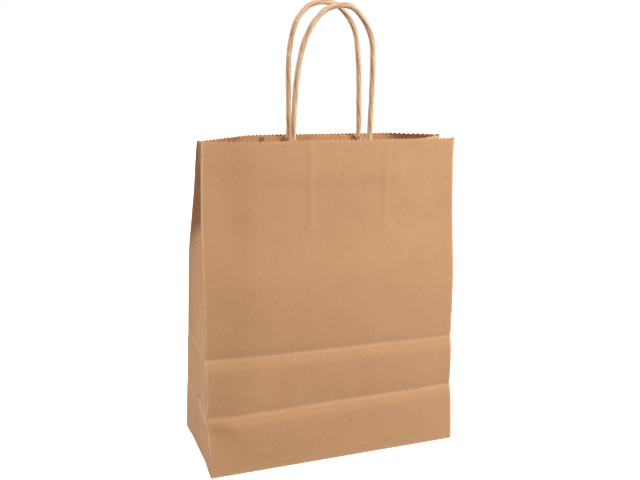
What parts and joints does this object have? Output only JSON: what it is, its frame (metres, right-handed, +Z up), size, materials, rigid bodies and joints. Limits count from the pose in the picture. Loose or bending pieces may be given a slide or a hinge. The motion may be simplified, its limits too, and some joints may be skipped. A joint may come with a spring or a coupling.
{
  "type": "paper gift bag",
  "caption": "Brown kraft paper gift bag with a block bottom, folded side gussets, a saw-tooth rim and twisted paper handles.",
  "frame": {"origin": "centre of the base, on the surface that the bag stands on", "axes": "+X along the front to the right, +Y to the back, +Z up"},
  "size_m": [0.18, 0.0799, 0.3085],
  "materials": {
    "kraft_paper": "matte, unbleached kraft with fine fibres and specks",
    "patch_paper": "matte, unbleached kraft strip",
    "twisted_cord": "matte, tightly twisted kraft paper"
  },
  "bodies": {
    "base": {"base_front_flap": "kraft_paper", "base_back_flap": "kraft_paper", "base_left_tuck": "kraft_paper", "base_right_tuck": "kraft_paper", "left_gusset_foot": "kraft_paper", "right_gusset_foot": "kraft_paper"},
    "front_side": {"front_panel": "kraft_paper", "left_gusset_front_web": "kraft_paper", "right_gusset_front_web": "kraft_paper", "front_handle_backing": "patch_paper", "front_handle_ends": "twisted_cord", "front_handle_cover": "patch_paper"},
    "back_side": {"back_panel": "kraft_paper", "side_seam_lap": "kraft_paper", "left_gusset_back_web": "kraft_paper", "right_gusset_back_web": "kraft_paper", "back_handle_backing": "patch_paper", "back_handle_ends": "twisted_cord", "back_handle_cover": "patch_paper"},
    "left_gusset_front": {"left_gusset_front_leaf": "kraft_paper"},
    "left_gusset_back": {"left_gusset_back_leaf": "kraft_paper"},
    "right_gusset_front": {"right_gusset_front_leaf": "kraft_paper"},
    "right_gusset_back": {"right_gusset_back_leaf": "kraft_paper"},
    "front_handle": {"front_handle_loop": "twisted_cord"},
    "back_handle": {"back_handle_loop": "twisted_cord"}
  },
  "joints": [
    {"name": "front_panel_swing", "type": "hinge", "parent": "base", "child": "front_side", "pos_m": [0, -0.04, 0], "axis": [1, 0, 0], "range_deg": [0, 5.2]},
    {"name": "back_panel_swing", "type": "hinge", "parent": "base", "child": "back_side", "pos_m": [0, 0.04, 0], "axis": [-1, 0, 0], "range_deg": [0, 6]},
    {"name": "left_gusset_front_fold", "type": "hinge", "parent": "base", "child": "left_gusset_front", "pos_m": [-0.0898, 0, 0.04], "axis": [0.1859, -0.1523, 0.9707], "range_deg": [0, 33.95]},
    {"name": "left_gusset_back_fold", "type": "hinge", "parent": "base", "child": "left_gusset_back", "pos_m": [-0.0898, 0, 0.04], "axis": [-0.2224, -0.0072, -0.9749], "range_deg": [0, 33.46]},
    {"name": "right_gusset_front_fold", "type": "hinge", "parent": "base", "child": "right_gusset_front", "pos_m": [0.0898, 0, 0.04], "axis": [0.1453, 0.1629, -0.9759], "range_deg": [0, 43.19]},
    {"name": "right_gusset_back_fold", "type": "hinge", "parent": "base", "child": "right_gusset_back", "pos_m": [0.0898, 0, 0.04], "axis": [-0.2579, 0.0622, 0.9642], "range_deg": [0, 30.65]},
    {"name": "front_handle_swing", "type": "hinge", "parent": "front_side", "child": "front_handle", "pos_m": [0, -0.01683, 0.22409], "axis": [1, 0, 0], "range_deg": [-9, 105]},
    {"name": "back_handle_swing", "type": "hinge", "parent": "back_side", "child": "back_handle", "pos_m": [0, 0.01245, 0.22409], "axis": [-1, 0, 0], "range_deg": [-9, 105]}
  ],
  "couplings": [
    {"joint": "back_panel_swing", "follows": "front_panel_swing", "ratio": 1.1538},
    {"joint": "left_gusset_front_fold", "follows": "front_panel_swing", "ratio": 6.5293},
    {"joint": "left_gusset_back_fold", "follows": "front_panel_swing", "ratio": 6.4352},
    {"joint": "right_gusset_front_fold", "follows": "front_panel_swing", "ratio": 8.3059},
    {"joint": "right_gusset_back_fold", "follows": "front_panel_swing", "ratio": 5.8941}
  ]
}
